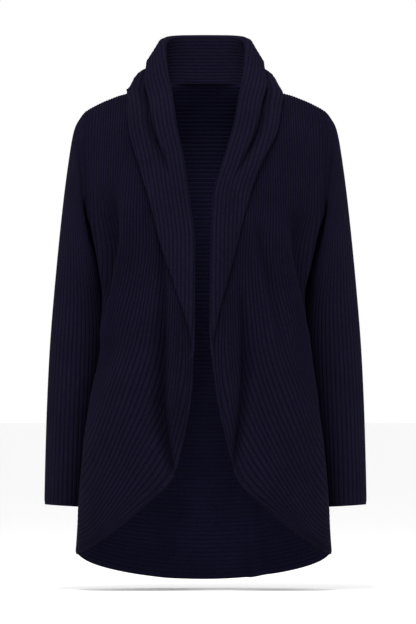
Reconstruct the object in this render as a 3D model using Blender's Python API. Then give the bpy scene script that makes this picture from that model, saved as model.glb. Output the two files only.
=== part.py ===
"""Open-front cardigan in a wide rib knit, with a shawl collar that rolls over into two lapels.

It is built filled out, as it is worn, in six knitted pieces with a hair of room at each seam.
Tables are in millimetres and degrees, and the meshes in metres. X runs across, with the wearer's
left at +X. The front faces -Y. Z is height, with 0 at the side of the neck, where the wearer holds
the garment. A drop is a distance down from there. A turn is the angle round the body from its
centre front, and below is a distance down from the shoulder line at that turn.
"""
import bpy
import numpy as np

MM = 0.001
THICKNESS = 2.4
RIB_HEIGHT = 1.0
SEAM = 0.3
ARMHOLE_SEAM = 0.45
NECK_SEAM = 0.5
RIB_NEEDS = 5.0
FINE = 240
TINY = 0.001

NECK_ACROSS = 76
NECK_DEEP = 57
NECK_SOFTENS = 2.5
V_WIDTH = 51
V_TOP = -15
V_LENGTH = 440
SIDE_SEAM = 96
SIDE_SEAM_ROOM = 0.1
SIDE_HEM = 765
BACK_HEM_SAG = 44

BODY_SQUARENESS = 0.833
SHOULDER_ROUNDING = 150
ROUNDING_POWER = 0.7
TUCK_TURN = 100
TUCK_REACH = 42
HEM_POWER = 0.62

BACK_RIBS = 48
FRONT_RIBS = 28
STAND_RIBS = 10
FALL_RIBS = 12
PLAIN_STEP = 4
PLAIN_STEP_AT_FOLDS = 2
UNDER_ARM_COLUMNS = 10, 58


def table(columns, *rows):
    """Names the columns of some rows of numbers. Rows are found by the first column."""
    return dict(zip(columns.split(), np.array(rows, float).T))


def read(rows, column, at):
    """Reads a column at any value of the first one, on a smooth curve that never overshoots."""
    key, value = next(iter(rows.values())), rows[column]
    width = np.diff(key)
    rise = np.diff(value) / width
    turns = rise[:-1] * rise[1:] > 0
    both = np.where(turns, rise[:-1] + rise[1:], 1)
    inner = np.where(turns, 2 * rise[:-1] * rise[1:] / both, 0)
    slope = np.concatenate([rise[:1], inner, rise[-1:]])
    at = np.clip(at, key[0], key[-1])
    i = np.clip(np.searchsorted(key, at, side="right") - 1, 0, len(key) - 2)
    t = (at - key[i]) / width[i]
    ends = value[i] * (1 + 2 * t) * (1 - t) ** 2 + value[i + 1] * t * t * (3 - 2 * t)
    return ends + width[i] * t * (1 - t) * (slope[i] * (1 - t) - slope[i + 1] * t)


BODY = table(
    "drop half_width front back tuck lean",
    (-18, 212, 112, 104, 0.00, 0.0),
    (30, 212, 118, 108, 0.00, 0.0),
    (138, 211, 126, 116, 0.00, 0.0),
    (190, 204, 129, 118, 0.08, 0.0),
    (218, 197, 130, 117, 0.17, -0.5),
    (285, 187, 131, 114, 0.19, -1.5),
    (340, 181, 132, 112, 0.17, -2.5),
    (410, 181, 133, 114, 0.15, -3.0),
    (508, 196, 136, 121, 0.15, -3.0),
    (592, 208, 139, 129, 0.14, -3.0),
    (700, 215, 143, 138, 0.08, -3.0),
    (768, 215, 145, 144, 0.02, -3.0),
    (812, 216, 147, 148, 0.00, -3.0))

SHOULDER = table(
    "turn drop",
    (0, -18), (13, -17.5), (17, -15), (27, -5.5), (34, -0.5), (38.2, 2.4), (44.2, 8.3), (51.1, 15), (57.5, 21.7),
    (61.2, 25), (90, 30))

# Ribs of the front, from the front edge (share 0) to the armhole (share 1). Each runs down from the
# neckline or the shoulder and swings out to the side seam, and the ribs between them follow.
RIB_LINE = "drop turn"
FRONT_EDGE = table(
    RIB_LINE, (416, 5.6), (450, 4.5), (480, 4.0), (540, 4.9), (590, 7.0), (634, 9.7), (655, 13.4), (682, 22.1),
    (713, 33.8), (741, 49.0), (760, 69.0), (766, 96.0))
FRONT_RIB_LINES = {
    0.045: table(RIB_LINE, (323, 8.5), (416, 7.0), (497, 5.8), (547, 8.1), (597, 10.7), (630, 13.2), (655, 17.5),
                 (684, 27.0), (713, 38.5), (738, 52.0), (755, 71.0), (761, 96.0)),
    0.12: table(RIB_LINE, (182, 11.34), (235, 10.9), (320, 10.1), (400, 10.2), (500, 11.4), (563, 14.0), (597, 17.9), (633, 24.3),
                (663, 30.9), (695, 39.6), (722, 49.0), (743, 61.0), (754, 96.0)),
    0.21: table(RIB_LINE, (49, 14.9), (99, 14.3), (180, 13.6), (258, 13.6), (400, 15.2), (470, 17.2), (517, 19.8), (558, 24.0),
                (603, 30.6), (642, 37.4), (678, 46.0), (710, 57.0), (744, 96.0)),
    0.32: table(RIB_LINE, (-15, 17.0), (140, 18.2), (258, 19.7), (342, 23.2), (420, 26.6), (475, 29.8),
                (517, 33.4), (563, 39.2), (613, 47.0), (660, 57.0), (722, 96.0)),
    0.40: table(RIB_LINE, (-12, 21.0), (140, 22.4), (240, 23.8), (282, 25.8), (330, 29.3), (377, 32.8),
                (413, 36.2), (470, 41.7), (540, 49.5), (600, 59.0), (682, 96.0)),
    0.53: table(RIB_LINE, (-7, 28.0), (140, 29.4), (207, 31.4), (270, 34.8), (307, 38.5), (342, 43.0),
                (377, 47.8), (413, 52.5), (462, 58.0), (520, 67.0), (604, 96.0)),
    0.76: table(RIB_LINE, (7, 42.7), (100, 44.6), (198, 46.2), (250, 48.5), (290, 51.5), (330, 56.0),
                (370, 61.5), (410, 69.0), (440, 78.0), (480, 96.0)),
    0.88: table(RIB_LINE, (16, 52.5), (100, 54.6), (160, 55.6), (200, 57.5), (240, 60.5), (280, 64.5),
                (320, 70.5), (355, 79.0), (398, 96.0))}
ARMHOLE_FRONT = table(
    RIB_LINE, (25.6, 66.0), (38, 68.0), (60, 70.3), (92, 71.0), (130, 69.3), (160, 70.0), (183, 75.0),
    (198, 84.0), (204, 96.0))
ARMHOLE_ROWS = 9
SIDE_ROWS = 6
ROWS_CLOSER_ABOVE = 1.1
SIDE_TOP_DROP = 316
V_STEPS = 9
V_CLOSER_ABOVE = 1.4
NECK_EASES_OVER = 5
NECK_STEPS = 5
V_SHARE = V_STEPS / FRONT_RIBS
V_END = 1.98
NUDGE = 0.004
SIDE_SEAM_BACK = 18
ARMHOLE_MIDDLE = 115
ARMHOLE_LEANS_OUT = 0.8

BACK_SIDE = table(
    "edge_drop edge_turn",
    (25.6, 114.0),
    (39, 111.8),
    (60, 110.0),
    (88, 109.6),
    (116, 110.2),
    (144, 111.4),
    (170, 109.9),
    (191, 104.4),
    (204, 96.0),
    (268, 96.0),
    (360, 96.0),
    (480, 96.0),
    (620, 96.0),
    (765, 96.0))

# The sleeve's rings, from just off the armhole to the cuff: the point of the ring that is farthest
# out, the one that is nearest the body, how far back the ring sits and how deep it is.
SLEEVE = table(
    "ring outer_across outer_drop outer_back inner_across inner_drop inner_back middle_back deep "
    "like_armhole",
    (1, 206.0, 38, 0, 182.4, 211, 18, -1, 100.4, 1.00),
    (2, 217.9, 63, 3, 188.7, 215.7, 16, -0.5, 110.8, 0.61),
    (3, 229.0, 130, 8, 179.3, 261.4, 13, 1.5, 104, 0.39),
    (4, 239.0, 212, 13, 168.0, 316, 14, 10, 103, 0.10),
    (5, 249.5, 318, 19, 165.0, 380, 19, 19, 97, 0.00),
    (6, 257.5, 415, 27, 172.0, 450, 27, 27, 94, 0.00),
    (7, 262.5, 510, 36, 183.0, 530, 36, 36, 92, 0.00),
    (8, 265.5, 600, 45, 193.0, 612, 45, 45, 91, 0.00),
    (9, 267.5, 683, 53, 201.0, 687, 53, 53, 90, 0.00))

# The collar's sections, from the centre back of the neck to the end of the lapel: the crest of its
# roll, its free edge and the radius of the roll. Widths differ from side to side, as worn.
COLLAR = table(
    "seam right_roll left_roll roll_y roll_z right_edge left_edge edge_y edge_z radius",
    (0.00, 0, 0, 84, 99.0, 0, 0, 88, -4, 6.0),
    (0.35, 33, 33, 79, 98.5, 52, 52, 80, -3, 6.0),
    (0.70, 56, 56, 57, 97.5, 98, 96, 47, -3, 6.0),
    (0.90, 65, 65, 30, 95.5, 122, 119, 25, 3, 6.0),
    (1.00, 67, 67, 4, 86.0, 132, 127, 3, 9.5, 6.0),
    (1.03, 63, 64, -32, 46.0, 135, 130, -20, 2, 6.0),
    (1.08, 56, 57, -68, -3.0, 134, 128, -46, -16, 6.0),
    (1.16, 49, 48, -101, -52.0, 127, 119, -92, -60, 6.0),
    (1.29, 38, 33, -127, -105.0, 113, 94, -124, -111, 6.0),
    (1.46, 27, 13, -135, -178.0, 92, 70, -131, -180, 6.0),
    (1.60, 18, 11, -137, -246.0, 74, 54, -134.5, -247, 5.5),
    (1.75, 17, 11, -138, -314.0, 50, 37, -136, -315, 5.0),
    (1.88, 17, 12, -138, -372.0, 33, 26, -139, -372, 4.5),
    (1.98, 17, 12, -138, -416.0, 25, 20, -142, -416, 4.0))
COLLAR_STEPS = (1, 1, 1, 1, 1, 2, 2, 2, 2, 1, 1, 1, 1, 1)
SEAM_LEANS_UP = 0.9
SEAM_UPRIGHT_AT = 1.25
FALL_BOW = 7.0
BOW_NEEDS = 70

# Two soft creases part the collar into three rolls over each shoulder. Distances are from the crest.
ROLLS = table(
    "seam first first_deep second second_deep",
    (0.60, 50, 0.0, 84, 0.0),
    (0.90, 50, 2.5, 84, 2.5),
    (1.00, 49, 4.0, 84, 4.0),
    (1.06, 48, 4.0, 84, 2.5),
    (1.12, 46, 4.0, 82, 0.0),
    (1.24, 40, 3.0, 80, 0.0),
    (1.34, 32, 0.0, 80, 0.0))
CREASE_WIDTH = 9.0

FOLD = "drop across lift width"
FOLDS_START = 20
FOLDS_GROW_OVER = 45
FOLDS = {
    "front_right": (
        table(FOLD, (105, -122, 0, 16), (165, -132, 4, 14), (225, -127, 7, 12), (277, -135, 7, 13),
              (342, -148, 6, 14), (420, -166, 0, 16)),
        table(FOLD, (150, -158, 0, 20), (210, -153, -8, 18), (260, -155, -11, 17),
              (310, -160, -8, 16), (350, -166, -4, 15), (390, -172, 0, 15)),
        table(FOLD, (190, -72, 0, 10), (240, -71, -5, 9), (342, -68, -5, 9), (425, -71, -7, 10),
              (508, -72, -7, 12), (600, -57, -4, 10), (640, -48, 0, 8))),
    "front_left": (
        table(FOLD, (190, 118, 0, 16), (247, 126, 6, 13), (328, 141, 7, 12), (383, 152, 7, 13),
              (447, 168, 5, 14), (530, 180, 0, 16)),
        table(FOLD, (190, 146, 0, 18), (250, 148, -8, 16), (320, 160, -8, 16), (375, 169, -4, 15),
              (420, 176, 0, 15)),
        table(FOLD, (200, 70, 0, 10), (238, 74, 4, 9), (300, 86, 5, 9), (397, 107, 4, 10),
              (450, 120, 0, 12)),
        table(FOLD, (330, 57, 0, 9), (363, 58, -5, 9), (453, 62, -6, 10), (532, 56, -5, 10),
              (590, 48, -3, 9), (625, 45, 0, 8))),
    "back": (
        table(FOLD, (620, 74, 0, 20), (717, 76, -6, 20), (812, 80, -9, 20)),
        table(FOLD, (620, -60, 0, 24), (812, -66, -6, 24)))}

NAVY = {
    "back": (0.0110, 0.0100, 0.0200),
    "front_right": (0.0125, 0.0113, 0.0226),
    "front_left": (0.0125, 0.0113, 0.0226),
    "sleeve_right": (0.0130, 0.0117, 0.0232),
    "sleeve_left": (0.0130, 0.0117, 0.0232),
    "collar": (0.0140, 0.0130, 0.0260)}
KNIT_ROUGHNESS = 0.9


def unit(vectors):
    """The same directions, one long."""
    return vectors / np.linalg.norm(vectors, axis=-1, keepdims=True)


def body(side, turn, below):
    """Points of the figure that the garment hangs on, on one side of it."""
    turn, below = np.broadcast_arrays(np.asarray(turn, float), np.asarray(below, float))
    drop = below + read(SHOULDER, "drop", np.minimum(turn, 180 - turn))
    across = np.sin(np.radians(turn)) ** BODY_SQUARENESS
    along = np.abs(np.cos(np.radians(turn))) ** BODY_SQUARENESS
    tuck = np.cos(np.clip((turn - TUCK_TURN) / TUCK_REACH, -1, 1) * np.pi / 2) ** 2
    x = read(BODY, "half_width", drop) * across * (1 - read(BODY, "tuck", drop) * tuck)
    in_front = turn < 90
    deep = np.where(in_front, read(BODY, "front", drop), read(BODY, "back", drop))
    rounded = (1 - (1 - np.clip(below / SHOULDER_ROUNDING, 0, 1)) ** 2) ** ROUNDING_POWER
    neck = NECK_DEEP * np.clip(1 - (x / NECK_ACROSS) ** 2, 0, 1) ** (0.5 + NECK_SOFTENS * rounded)
    neck = np.where(in_front, 0, neck)
    y = neck + (deep * along - neck) * rounded
    y = np.where(in_front, -y, y)
    return np.stack([side * x + read(BODY, "lean", drop), y, -drop], -1)


def place(across, drop):
    """Turn and distance below the shoulder of a point of the front at this width and drop."""
    share = np.clip(across / read(BODY, "half_width", drop), 0, 1)
    turn = np.degrees(np.arcsin(share ** (1 / BODY_SQUARENESS)))
    return turn, np.maximum(drop - read(SHOULDER, "drop", turn), 0)


def below_shoulder(turn, drop):
    """Distance below the shoulder line of a point at this turn and drop."""
    return drop - read(SHOULDER, "drop", np.minimum(turn, 180 - turn))


def neckline(side, seam):
    """Points where the collar is sewn on: round the back of the neck, then down the front."""
    seam = np.asarray(seam, float)
    angle = np.radians(90 * np.clip(seam, 0, 1))
    behind_x = NECK_ACROSS * np.sin(angle)
    share = behind_x / read(BODY, "half_width", V_TOP)
    behind_turn = 180 - np.degrees(np.arcsin(share ** (1 / BODY_SQUARENESS)))
    behind = body(side, behind_turn, 0)
    behind[..., 1] = NECK_DEEP * np.cos(angle)
    down = np.clip(seam - 1, 0, 1)
    turn, below = place(NECK_ACROSS - V_WIDTH * down, V_TOP + V_LENGTH * down)
    return np.where((seam <= 1)[..., None], behind, body(side, turn, below))


def even(path, count):
    """Points at equal steps along a path."""
    length = np.concatenate([[0], np.cumsum(np.linalg.norm(np.diff(path, axis=0), axis=-1))])
    return np.stack([np.interp(np.linspace(0, length[-1], count), length, c) for c in path.T], -1)


def facing(mid, closed=False):
    """Directions square to a grid of points, outwards where its rows run down, columns left to right."""
    down = np.gradient(mid, axis=0)
    if closed:
        along = np.roll(mid, -1, 1) - np.roll(mid, 1, 1)
    else:
        along = np.gradient(mid, axis=1)
    return unit(np.cross(down, along))


def folded(name, mid, out):
    """The grid with the folds of that piece pressed into it or raised from it."""
    lift = np.zeros(mid.shape[:2])
    for fold in FOLDS[name]:
        drop = -mid[..., 2]
        aside = (mid[..., 0] - read(fold, "across", drop)) / read(fold, "width", drop)
        lift = lift + read(fold, "lift", drop) * np.exp(-aside ** 2)
    return mid + out * lift[..., None]


def split(points, face):
    """A triangle as it is, or a quad as two triangles that meet on its shorter diagonal."""
    if len(face) == 3:
        return [face]
    a, b, c, d = face
    if np.linalg.norm(points[a] - points[c]) <= np.linalg.norm(points[b] - points[d]):
        return [(a, b, c), (a, c, d)]
    return [(a, b, d), (b, c, d)]


def cloth(name, mid, out, plain, closed=False):
    """A knitted wall with its ribs raised on the outer face, over a plain inner face."""
    rows, columns = mid.shape[:2]
    step = np.linalg.norm(np.diff(mid, axis=1), axis=-1)
    step = np.concatenate([step, step[:, -1:]], 1)
    raised = np.where(np.arange(columns) % 2 == 1, 1.0, 0.0)
    rib = RIB_HEIGHT * raised * np.clip(2 * step / RIB_NEEDS, 0, 1)
    outer = mid + out * (THICKNESS / 2 + rib)[..., None]
    inner = mid[:, plain] - out[:, plain] * THICKNESS / 2
    points = np.concatenate([outer.reshape(-1, 3), inner.reshape(-1, 3)]) * MM
    last = columns if closed else columns - 1

    def o(row, column):
        return row * columns + column % columns

    def i(row, place):
        return rows * columns + row * len(plain) + place % len(plain)

    faces = [(o(r, c), o(r + 1, c), o(r + 1, c + 1), o(r, c + 1))
             for r in range(rows - 1) for c in range(last)]
    stops = list(plain) + ([columns] if closed else [])
    for place, (start, stop) in enumerate(zip(stops, stops[1:])):
        faces += [(i(r, place), i(r, place + 1), i(r + 1, place + 1), i(r + 1, place))
                  for r in range(rows - 1)]
        half = (start + stop) // 2
        for row, flip in ((0, False), (rows - 1, True)):
            rim = [(i(row, place), o(row, c), o(row, c + 1)) for c in range(start, half)]
            rim += [(i(row, place + 1), o(row, c), o(row, c + 1)) for c in range(half, stop)]
            rim += [(i(row, place), o(row, half), i(row, place + 1))]
            faces += [face[::-1] if flip else face for face in rim]
    if not closed:
        for r in range(rows - 1):
            faces.append((o(r, 0), i(r, 0), i(r + 1, 0), o(r + 1, 0)))
            end = len(plain) - 1
            faces.append((o(r, last), o(r + 1, last), i(r + 1, end), i(r, end)))
    faces = [part for face in faces for part in split(points, face)]
    mesh = bpy.data.meshes.new(name)
    mesh.from_pydata(points.tolist(), [], faces)
    mesh.update()
    piece = bpy.data.objects.new(name, mesh)
    garment.objects.link(piece)
    knit = bpy.data.materials.new(name + "_knit")
    knit.use_nodes = True
    shader = knit.node_tree.nodes["Principled BSDF"]
    shader.inputs["Base Color"].default_value = (*NAVY[name], 1)
    shader.inputs["Roughness"].default_value = KNIT_ROUGHNESS
    shader.inputs["Metallic"].default_value = 0
    mesh.materials.append(knit)
    return piece


def stand_heading(side, seam):
    """How the collar leaves the neckline, and the frame of its roll: crest, lift and across."""
    seam = np.asarray(seam, float)
    which = "right" if side < 0 else "left"
    base = neckline(side, seam)
    lean = read(BODY, "lean", -base[..., 2])
    crest = np.stack([side * read(COLLAR, which + "_roll", seam) + lean,
                      read(COLLAR, "roll_y", seam), read(COLLAR, "roll_z", seam)], -1)
    edge = np.stack([side * read(COLLAR, which + "_edge", seam) + lean,
                     read(COLLAR, "edge_y", seam), read(COLLAR, "edge_z", seam)], -1)
    lift = unit(crest - (base + edge) / 2)
    away = edge - base
    away = unit(away - lift * np.sum(away * lift, -1, keepdims=True))
    radius = read(COLLAR, "radius", seam)[..., None]
    start = crest - (lift + away) * radius
    bend = start - lift * np.linalg.norm(start - base, axis=-1, keepdims=True) / 2
    return base, bend, start, crest, edge, lift, away, radius


def stops():
    """Places along the neckline seam between which it is straight, closer together on the shoulder."""
    parts = []
    for start, end, steps, closer in ((0, 1, NECK_STEPS, 1), (1, V_END, V_STEPS, V_CLOSER_ABOVE)):
        seam = np.linspace(start, end, FINE)
        run = lengths(neckline(1, seam)[None])[0]
        parts.append(np.interp(run[-1] * np.linspace(0, 1, steps + 1) ** closer, run, seam))
    return np.concatenate([parts[0], parts[1][1:]])


def between(values, steps):
    """The values with more, equally spaced, between each and the next: one count for each gap."""
    parts = [np.linspace(a, b, n + 1)[:-1] for a, b, n in zip(values, values[1:], steps)]
    return np.concatenate(parts + [values[-1:]])


def sewn(side, seam):
    """The neckline seam, straight from stop to stop, and the direction through the cloth there."""
    at = stops()
    base, bend = stand_heading(side, at)[:2]
    along = neckline(side, at + NUDGE) - neckline(side, at - NUDGE)
    along[0] = side, 0, 0
    out = -side * unit(np.cross(along, bend - base))
    corner = NECK_STEPS
    out[corner] = side, 0, 0
    out[:, 2] += SEAM_LEANS_UP * np.clip((SEAM_UPRIGHT_AT - at) / (SEAM_UPRIGHT_AT - 1), 0, 1)
    out = unit(out)
    out[1:-1] = (out[:-2] + 2 * out[1:-1] + out[2:]) / 4
    out[corner, 1] = 0
    both = np.concatenate([base, unit(out)], 1)
    both = np.stack([np.interp(seam, at, c) for c in both.T], -1)
    return both[:, :3], unit(both[:, 3:])


def shoulder_out(top):
    """The direction through the cloth along a shoulder seam: square to it, and upwards."""
    out = unit(np.cross(np.gradient(top, axis=0), np.array([0, 1.0, 0])))
    return out * np.sign(out[:, 2:])


def armhole_out(side, edge):
    """The direction through the cloth round the armhole: away from its middle, and outwards."""
    out = edge + np.array([0, 0, ARMHOLE_MIDDLE])
    out[:, 0] = 0
    out[[0, -1], 1] = 0
    out = unit(out)
    out[:, 0] = side * ARMHOLE_LEANS_OUT
    return unit(out)


def line(rows, count, closer=1):
    """Turns and drops along one rib: a smooth line through its rows, with steps closer at its top."""
    key = np.arange(len(rows["drop"]))
    at = np.linspace(0, key[-1], FINE)
    turn, drop = (read({"at": key, c: rows[c]}, c, at) for c in ("turn", "drop"))
    path = body(1, turn, np.maximum(below_shoulder(turn, drop), 0))
    run = lengths(path[None])[0]
    steps = run[-1] * np.linspace(0, 1, count) ** closer
    return np.interp(steps, run, turn), np.interp(steps, run, drop)


def front_ribs():
    """Turn and drop of every point of a front's grid: rows down the ribs, columns across them."""
    rows = ARMHOLE_ROWS + SIDE_ROWS + 1
    lines = [line(rib, rows, ROWS_CLOSER_ABOVE) for rib in (FRONT_EDGE, *FRONT_RIB_LINES.values())]
    armhole = line(ARMHOLE_FRONT, ARMHOLE_ROWS + 1)
    side = np.linspace(ARMHOLE_FRONT["drop"][-1], SIDE_TOP_DROP, SIDE_ROWS + 1)[1:]
    lines.append((np.append(armhole[0], np.full(SIDE_ROWS, SIDE_SEAM)), np.append(armhole[1], side)))
    share = np.array([0, *FRONT_RIB_LINES, 1])
    columns = np.linspace(0, 1, 2 * FRONT_RIBS + 1)
    turn, drop = (np.array([read({"share": share, "v": v}, "v", columns) for v in np.array(part).T])
                  for part in zip(*lines))
    return columns, turn, drop


def front(side):
    """One front, with its ribs as columns and the neckline and shoulder seams as its first row."""
    name = "front_right" if side < 0 else "front_left"
    columns, turn, drop = front_ribs()
    turn[-1] = SIDE_SEAM
    seams = between(stops()[NECK_STEPS:], [2] * V_STEPS)[::-1]
    sewn_columns = len(seams)
    down = seams - 1
    sewn_turn = place(NECK_ACROSS - V_WIDTH * down, V_TOP + V_LENGTH * down)[0]
    eased = np.clip(1 - np.arange(len(turn)) / NECK_EASES_OVER, 0, 1)[:, None]
    turn[:, :sewn_columns] += eased * (sewn_turn - turn[0, :sewn_columns])
    drop[:, :sewn_columns] += eased * (V_TOP + V_LENGTH * down - drop[0, :sewn_columns])
    below = np.maximum(below_shoulder(turn, drop), 0)
    mid = body(side, np.minimum(turn, SIDE_SEAM - SIDE_SEAM_ROOM), below)
    tip = float(ARMHOLE_FRONT["turn"][0])
    neck_turn = place(NECK_ACROSS, V_TOP)[0]
    shoulder = body(side, np.linspace(neck_turn, tip, FINE), 0)
    edge, edge_out = sewn(side, seams)
    mid[0] = np.concatenate([edge[:-1], even(shoulder, len(columns) - sewn_columns + 1)])
    mid[0, sewn_columns - 1:, 1] -= SEAM / 2
    order = slice(None, None, side)
    mid = mid[:, order]
    out = facing(mid)
    in_front = np.clip((-mid[..., 1:2] - FOLDS_START) / FOLDS_GROW_OVER, 0, 1)
    mid = mid + (folded(name, mid, out) - mid) * in_front
    out = facing(mid)[:, order]
    mid = mid[:, order]
    out[0, sewn_columns - 1:] = shoulder_out(mid[0, sewn_columns - 1:])
    out[0, :sewn_columns] = edge_out
    loop, below_arm = slice(0, ARMHOLE_ROWS + 1), slice(ARMHOLE_ROWS, None)
    mid[below_arm, -1, 1] = mid[-1, :, 1] = SIDE_SEAM_BACK - SEAM / 2
    out[below_arm, -1] = out[-1] = side, 0, 0
    out[loop, -1] = armhole_out(side, mid[loop, -1])
    out = unit(out)
    cloth(name, mid[:, order], out[:, order], range(0, 2 * FRONT_RIBS + 1, PLAIN_STEP_AT_FOLDS))
    return mid[loop, -1], out[loop, -1]


def back_section(side, edge_drop, edge_turn):
    """Half a section across the back, from the armhole or side seam to the centre back."""
    turn = np.linspace(max(edge_turn, SIDE_SEAM + SIDE_SEAM_ROOM), 180, FINE)
    across = np.sin(np.radians(turn)) ** BODY_SQUARENESS
    hem = SIDE_HEM + BACK_HEM_SAG * (1 - across ** 2) ** HEM_POWER
    long = below_shoulder(turn, hem)
    share = max(below_shoulder(turn[0], edge_drop), 0) / long[0]
    return body(side, turn, long * share)


def back():
    """The back panel, seen from behind: from the wearer's left to the wearer's right."""
    columns = 2 * BACK_RIBS + 1
    mid = []
    for row in zip(BACK_SIDE["edge_drop"], BACK_SIDE["edge_turn"]):
        left, right = back_section(1, *row), back_section(-1, *row)
        mid.append(even(np.concatenate([left, right[::-1][1:]]), columns))
    mid = np.array(mid)
    left = back_section(1, BACK_SIDE["edge_drop"][0], BACK_SIDE["edge_turn"][0])
    shoulder = np.concatenate([left[left[:, 0] > NECK_ACROSS], neckline(1, [1.0])])
    half = between(stops()[:NECK_STEPS + 1], [PLAIN_STEP] * NECK_STEPS)
    left_neck, right_neck = (sewn(which, half) for which in (1, -1))
    neck, neck_out = (np.concatenate([a[::-1], b[1:]]) for a, b in zip(left_neck, right_neck))
    side_steps = (columns - len(neck)) // 2
    shoulder = even(shoulder, side_steps + 1)
    mirrored = shoulder[::-1] * np.array([-1, 1, 1])
    mid[0] = np.concatenate([shoulder, neck[1:-1], mirrored])
    mid[0, :, 1] += SEAM / 2
    out = facing(mid)
    mid = folded("back", mid, out)
    out = facing(mid)
    out[0] = shoulder_out(mid[0])
    out[0, side_steps:side_steps + len(neck)] = neck_out
    armhole_rows = int(np.sum(BACK_SIDE["edge_turn"] > SIDE_SEAM)) + 1
    for edge, side in ((0, 1), (-1, -1)):
        mid[armhole_rows - 1:, edge, 1] = SIDE_SEAM_BACK + SEAM / 2
        out[armhole_rows - 1:, edge] = side, 0, 0
        out[:armhole_rows, edge] = armhole_out(side, mid[:armhole_rows, edge])
    out = unit(out)
    from_corner = abs(abs(np.arange(columns) - BACK_RIBS) - (BACK_RIBS - side_steps))
    plain = [c for c in range(columns) if c % PLAIN_STEP == 0
             or (from_corner[c] <= 2 * PLAIN_STEP and c % PLAIN_STEP_AT_FOLDS == 0)]
    cloth("back", mid, out, plain)
    return {1: (mid[:armhole_rows, 0], out[:armhole_rows, 0]),
            -1: (mid[:armhole_rows, -1], out[:armhole_rows, -1])}


def sleeve(side, front_edge, back_edge):
    """One sleeve: rings that leave the armhole sideways and turn down the arm."""
    name = "sleeve_right" if side < 0 else "sleeve_left"
    first, second = (front_edge, back_edge) if side < 0 else (back_edge, front_edge)
    loop, through = (np.concatenate([a, b[::-1][1:]]) for a, b in zip(first, second))
    steps = [PLAIN_STEP] * (len(loop) - 1)
    ring = np.stack([between(c, steps) for c in loop.T], -1)[:-1]
    ring_out = unit(np.stack([between(c, steps) for c in through.T], -1)[:-1])
    count = len(ring)
    tip, pit = ring[0], ring[np.argmin(ring[:, 2])]
    long = tip - pit
    place_along = 2 * (ring - pit) @ long / (long @ long) - 1
    mid = [ring + np.array([side * ARMHOLE_SEAM, 0, 0])]
    turn = np.linspace(0, 2 * np.pi, FINE)
    for n in range(len(SLEEVE["ring"])):
        row = {key: column[n] for key, column in SLEEVE.items()}
        far = np.array([side * row["outer_across"], row["outer_back"], -row["outer_drop"]])
        near = np.array([side * row["inner_across"], row["inner_back"], -row["inner_drop"]])
        half = (far - near) / 2
        oval = (far + near) / 2 + np.cos(turn)[:, None] * half
        aside = row["middle_back"] - (row["outer_back"] + row["inner_back"]) / 2
        oval[:, 1] += np.sin(turn) * side * row["deep"] / 2 + np.sin(turn) ** 2 * aside
        oval = even(oval, count + 1)[:-1]
        moved = (1 + place_along)[:, None] / 2 * (far - tip) + (1 - place_along)[:, None] / 2 * (near - pit)
        like = row["like_armhole"]
        puffed = (ring + moved) * np.array([1, row["deep"] / SLEEVE["deep"][0], 1])
        mid.append(like * puffed + (1 - like) * oval)
    mid = np.array(mid)
    out = facing(mid, closed=True)
    out[0] = ring_out
    under_arm = range(*UNDER_ARM_COLUMNS)
    plain = [c for c in range(count)
             if c % PLAIN_STEP == 0 or (c in under_arm and c % PLAIN_STEP_AT_FOLDS == 0)]
    cloth(name, mid, out, plain, closed=True)


def collar_profile(side, seam, base):
    """Sections of the collar at each seam place: from the seam to the crest, and on to its free edge."""
    _, bend, start, crest, edge, lift, away, radius = (v[:, None] for v in stand_heading(side, seam))
    base = base[:, None]
    heading = unit(bend - base)
    base = base + heading * NECK_SEAM
    t = np.linspace(0, 1, FINE // 4)[None, :, None]
    stand = base * (1 - t) ** 2 + 2 * bend * t * (1 - t) + start * t ** 2
    angle = t * np.pi / 2
    middle = crest - lift * radius
    rise = middle + radius * (lift * np.sin(angle) - away * np.cos(angle))
    turn_over = middle + radius * (lift * np.cos(angle) + away * np.sin(angle))
    fall_start = middle + away * radius
    reach = np.linalg.norm(edge - fall_start, axis=-1, keepdims=True)
    bow = fall_start - lift * reach / 2 + away * FALL_BOW * np.clip(reach / BOW_NEEDS, 0, 1)
    fall = fall_start * (1 - t) ** 2 + 2 * bow * t * (1 - t) + edge * t ** 2
    return (np.concatenate([stand, rise[:, 1:]], 1), np.concatenate([turn_over, fall[:, 1:]], 1))


def lengths(paths):
    """How far along each path its points lie."""
    step = np.linalg.norm(np.diff(paths, axis=1), axis=-1)
    return np.concatenate([np.zeros((len(paths), 1)), np.cumsum(step, axis=1)], 1)


def collar_half(side):
    """Half of the collar's grid, a row for each of COLLAR_ROWS, from the seam to the free edge."""
    seams = between(stops(), COLLAR_STEPS)
    stand, fall = collar_profile(side, seams, sewn(side, seams)[0])
    width = lengths(fall)[:, -1:] * np.linspace(0, 1, 2 * FALL_RIBS + 1)
    stand = np.array([even(path, 2 * STAND_RIBS + 1) for path in stand])
    fall = np.array([even(path, 2 * FALL_RIBS + 1) for path in fall])
    pressed = sum(read(ROLLS, which + "_deep", seams)[:, None]
                  * np.exp(-((width - read(ROLLS, which, seams)[:, None]) / CREASE_WIDTH) ** 2)
                  for which in ("first", "second"))
    pressed = np.concatenate([np.zeros(stand.shape[:2]), pressed[:, 1:]], 1)
    return np.concatenate([stand, fall[:, 1:]], 1), pressed


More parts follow.
